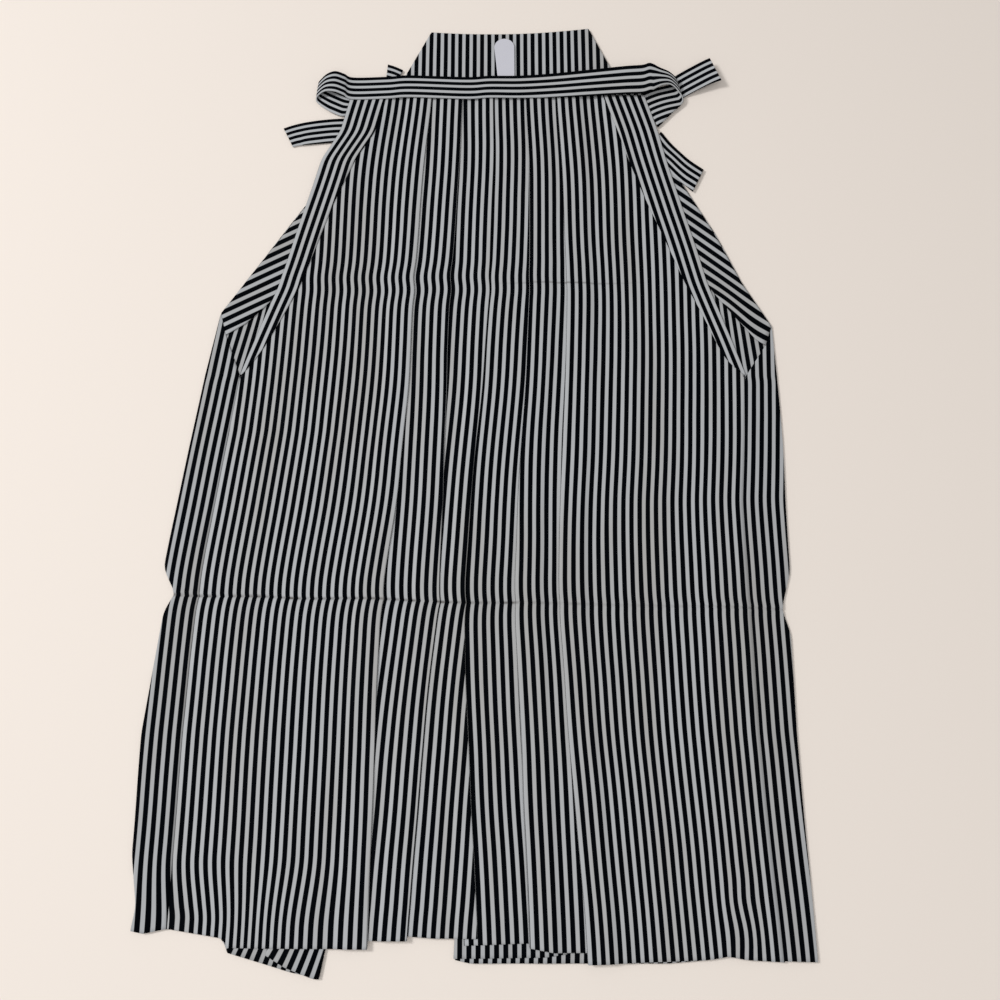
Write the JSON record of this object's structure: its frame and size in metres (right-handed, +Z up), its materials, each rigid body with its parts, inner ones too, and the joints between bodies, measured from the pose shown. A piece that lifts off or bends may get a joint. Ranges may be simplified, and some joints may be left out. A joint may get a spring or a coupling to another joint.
{
  "type": "hakama trousers",
  "caption": "Divided pleated hakama trousers in dark and light striped cloth, laid flat front side up, with a stiff back waist board, open side slits and looped ties.",
  "frame": {"origin": "bottom centre of the laid-out garment's box, on the surface it lies on", "axes": "+Y from the hems to the waist, +X to the wearer's left, +Z up off the surface, out of the garment's front"},
  "size_m": [0.6336, 1.0099, 0.0195],
  "materials": {
    "striped_cloth": "ribbed silk with a soft sheen, near-black and light grey stripes lengthwise",
    "board_cloth": "the same striped cloth drawn tight over a stiff board",
    "tie_cloth": "the same striped cloth, folded into flat bands with the stripes lengthwise",
    "spatula_plastic": "smooth pale plastic"
  },
  "bodies": {
    "root": {"back_right_leg": "striped_cloth", "back_left_leg": "striped_cloth", "gusset_right_half": "striped_cloth", "gusset_left_half": "striped_cloth", "front_right_leg": "striped_cloth", "front_left_leg": "striped_cloth", "right_side_fold": "striped_cloth", "left_side_fold": "striped_cloth", "waist_board": "board_cloth", "waist_spatula": "spatula_plastic", "front_waistband": "tie_cloth", "right_tie_loop": "tie_cloth", "right_tie_end": "tie_cloth", "left_tie_loop": "tie_cloth", "left_tie_upper_end": "tie_cloth", "left_tie_lower_end": "tie_cloth", "back_tie_end": "tie_cloth"}
  },
  "joints": []
}
